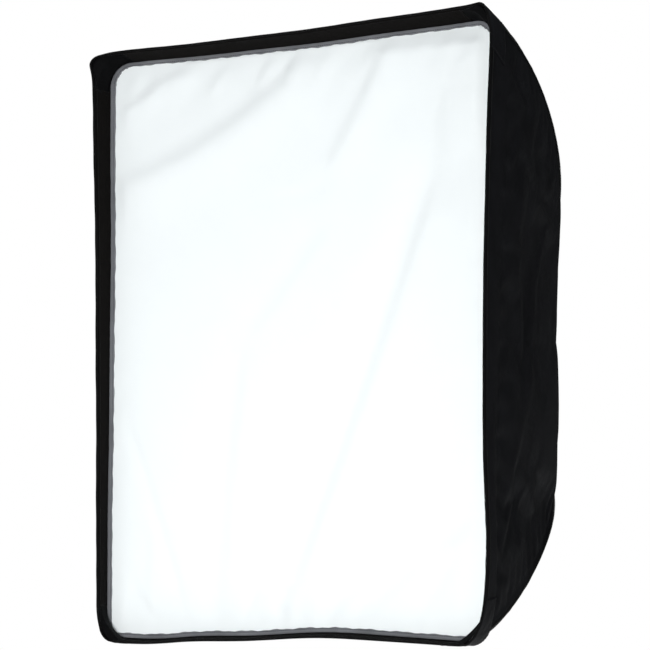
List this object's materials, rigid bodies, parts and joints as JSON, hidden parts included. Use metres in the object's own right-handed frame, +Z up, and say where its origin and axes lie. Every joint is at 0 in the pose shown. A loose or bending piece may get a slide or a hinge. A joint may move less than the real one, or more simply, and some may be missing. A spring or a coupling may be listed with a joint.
{
  "type": "rectangular softbox",
  "caption": "Rectangular black cloth softbox with a recessed white front diffuser, bent rods, an inner baffle and a rotating ring that fits a flash head.",
  "frame": {"origin": "centre of the seat that rests on the flash head, on the optical axis", "axes": "+Z up, the light leaves towards -Y, +X to the right seen from the front of the diffuser; +Y points back to the flash head"},
  "size_m": [0.6378, 0.6038, 0.8216],
  "materials": {
    "cast_insert": "satin",
    "plated_steel": "satin",
    "black_aluminium": "satin",
    "spring_steel": "satin",
    "brass": "satin",
    "black_plastic": "matte",
    "black_nylon": "satin",
    "black_webbing": "matte",
    "loop_tape": "matte",
    "hook_tape": "matte",
    "grey_binding": "matte",
    "white_cloth": "matte",
    "baffle_cloth": "matte",
    "baffle_binding": "matte",
    "black_elastic": "matte"
  },
  "bodies": {
    "adapter": {"adapter_insert": "cast_insert", "bayonet_ring": "plated_steel", "bayonet_screws": "plated_steel"},
    "box": {"speed_ring": "black_aluminium", "retaining_ring": "black_aluminium", "retaining_screws": "plated_steel", "ring_loop_band": "loop_tape", "rod_sockets": "black_aluminium", "socket_screws": "plated_steel", "clamp_screws": "plated_steel", "rod_ferrules": "plated_steel", "rod_top_right": "spring_steel", "rod_top_left": "spring_steel", "rod_bottom_right": "spring_steel", "rod_bottom_left": "spring_steel", "rod_caps": "black_plastic", "pocket_top_right": "black_webbing", "pocket_top_left": "black_webbing", "pocket_bottom_right": "black_webbing", "pocket_bottom_left": "black_webbing", "shell_right": "black_nylon", "shell_left": "black_nylon", "shell_top": "black_nylon", "shell_bottom": "black_nylon", "patch_top_right": "black_nylon", "patch_top_left": "black_nylon", "patch_bottom_right": "black_nylon", "patch_bottom_left": "black_nylon", "seam_top_right": "black_webbing", "seam_top_left": "black_webbing", "seam_bottom_right": "black_webbing", "seam_bottom_left": "black_webbing", "rim_binding": "black_webbing", "rear_hem": "black_webbing", "lip_tape_right": "loop_tape", "lip_tape_left": "loop_tape", "lip_tape_top": "loop_tape", "lip_tape_bottom": "loop_tape", "baffle_loops": "loop_tape"},
    "diffuser": {"diffuser_cloth": "white_cloth", "diffuser_binding": "grey_binding", "hook_tape_right": "hook_tape", "hook_tape_left": "hook_tape", "hook_tape_top": "hook_tape", "hook_tape_bottom": "hook_tape"},
    "baffle": {"baffle_cloth": "baffle_cloth", "baffle_hem": "baffle_binding", "baffle_straps": "black_elastic"},
    "lock_pad": {"lock_pad": "brass"},
    "lock_knob": {"lock_screw": "plated_steel", "lock_knob": "black_plastic"},
    "flap_right": {"flap_right": "black_nylon", "flap_hooks_right": "hook_tape"},
    "flap_left": {"flap_left": "black_nylon", "flap_hooks_left": "hook_tape"},
    "flap_top": {"flap_top": "black_nylon", "flap_hooks_top": "hook_tape"},
    "flap_bottom": {"flap_bottom": "black_nylon", "flap_hooks_bottom": "hook_tape"}
  },
  "joints": [
    {"name": "ring_rotation", "type": "hinge", "parent": "adapter", "child": "box", "pos_m": [0, 0, 0], "axis": [0, 1, 0], "continuous": true},
    {"name": "diffuser_release", "type": "slide", "parent": "box", "child": "diffuser", "axis": [0, -1, 0], "range_m": [0, 0.15]},
    {"name": "baffle_release", "type": "slide", "parent": "box", "child": "baffle", "axis": [0, -1, 0], "range_m": [0, 0.15]},
    {"name": "lock_travel", "type": "slide", "parent": "box", "child": "lock_pad", "axis": [1, 0, 0], "range_m": [0, 0.0019]},
    {"name": "lock_turn", "type": "hinge", "parent": "lock_pad", "child": "lock_knob", "pos_m": [0.07, -0.011, 0], "axis": [1, 0, 0], "range_deg": [0, 540]},
    {"name": "flap_right_fold", "type": "hinge", "parent": "box", "child": "flap_right", "pos_m": [0.10502, -0.0475, 0], "axis": [0, 0, -1], "range_deg": [0, 120]},
    {"name": "flap_left_fold", "type": "hinge", "parent": "box", "child": "flap_left", "pos_m": [-0.10502, -0.0475, 0], "axis": [0, 0, 1], "range_deg": [0, 120]},
    {"name": "flap_top_fold", "type": "hinge", "parent": "box", "child": "flap_top", "pos_m": [0, -0.0475, 0.1357], "axis": [1, 0, 0], "range_deg": [0, 140]},
    {"name": "flap_bottom_fold", "type": "hinge", "parent": "box", "child": "flap_bottom", "pos_m": [0, -0.0475, -0.1357], "axis": [-1, 0, 0], "range_deg": [0, 140]}
  ],
  "couplings": [
    {"joint": "lock_travel", "follows": "lock_turn", "m_per_rad": 0.00019894}
  ]
}
